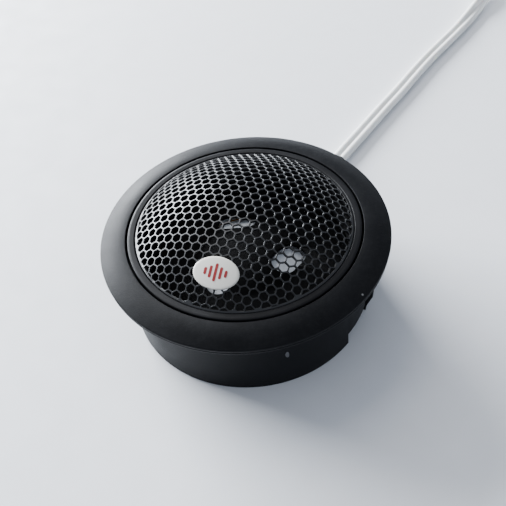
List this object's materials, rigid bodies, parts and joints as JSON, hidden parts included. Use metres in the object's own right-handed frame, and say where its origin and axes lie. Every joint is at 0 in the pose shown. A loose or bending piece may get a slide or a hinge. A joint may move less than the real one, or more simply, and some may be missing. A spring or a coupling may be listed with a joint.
{
  "type": "car tweeter",
  "caption": "Flush-mount dome tweeter: a round pod with a domed mesh grille, twist-locked into a flanged cup, on a flat twin lead.",
  "frame": {"origin": "centre of the cup's bottom edge, on the surface that the tweeter stands on", "axes": "+Z along the tweeter's axis out of the grille; the lead leaves between +X and +Y"},
  "size_m": [0.1573, 0.1468, 0.0259],
  "materials": {
    "cup_plastic": "fine textured matt",
    "bezel_plastic": "smooth satin",
    "grille_paint": "satin black paint",
    "badge_enamel": "printed, clear coated",
    "frame_plastic": "matt",
    "phase_plastic": "semi gloss",
    "diaphragm_cloth": "doped cloth, soft sheen",
    "former_film": "amber film",
    "winding_wire": "enamelled copper",
    "felt": "loose felt",
    "motor_steel": "zinc plated",
    "magnet_plating": "nickel plated",
    "screw_steel": "zinc plated",
    "board_laminate": "phenolic laminate",
    "contact_brass": "tinned brass",
    "sleeve_rubber": "heat-shrink sleeve",
    "lead_jacket": "soft PVC",
    "tie_nylon": "moulded nylon",
    "plug_nylon": "moulded nylon"
  },
  "bodies": {
    "pod": {"pod_bezel": "bezel_plastic", "grille_mesh": "grille_paint", "grille_badge": "badge_enamel", "front_frame": "frame_plastic", "phase_plate": "phase_plastic", "surround_ring": "frame_plastic", "surround": "diaphragm_cloth", "damping_felt": "felt", "pole_plate": "motor_steel", "magnet": "magnet_plating", "yoke": "motor_steel", "rear_cover": "frame_plastic", "cover_screws": "screw_steel", "terminal_board": "board_laminate", "terminal_lugs": "contact_brass", "inner_wires": "lead_jacket", "strain_relief": "sleeve_rubber", "lead_run": "lead_jacket", "lead_coil": "lead_jacket", "lead_tail": "lead_jacket", "coil_tie": "tie_nylon", "plug_housing": "plug_nylon", "plug_pins": "contact_brass"},
    "cup": {"flush_cup": "cup_plastic"},
    "diaphragm": {"dome_diaphragm": "diaphragm_cloth", "coil_former": "former_film", "voice_coil": "winding_wire"}
  },
  "joints": [
    {"name": "cup_twist", "type": "hinge", "parent": "pod", "child": "cup", "pos_m": [0, 0, 0], "axis": [0, 0, 1], "range_deg": [0, 24]},
    {"name": "diaphragm_travel", "type": "slide", "parent": "pod", "child": "diaphragm", "axis": [0, 0, 1], "range_m": [-0.0004, 0.0004], "stiffness_N_per_m": 50, "deforming": ["surround"]}
  ]
}
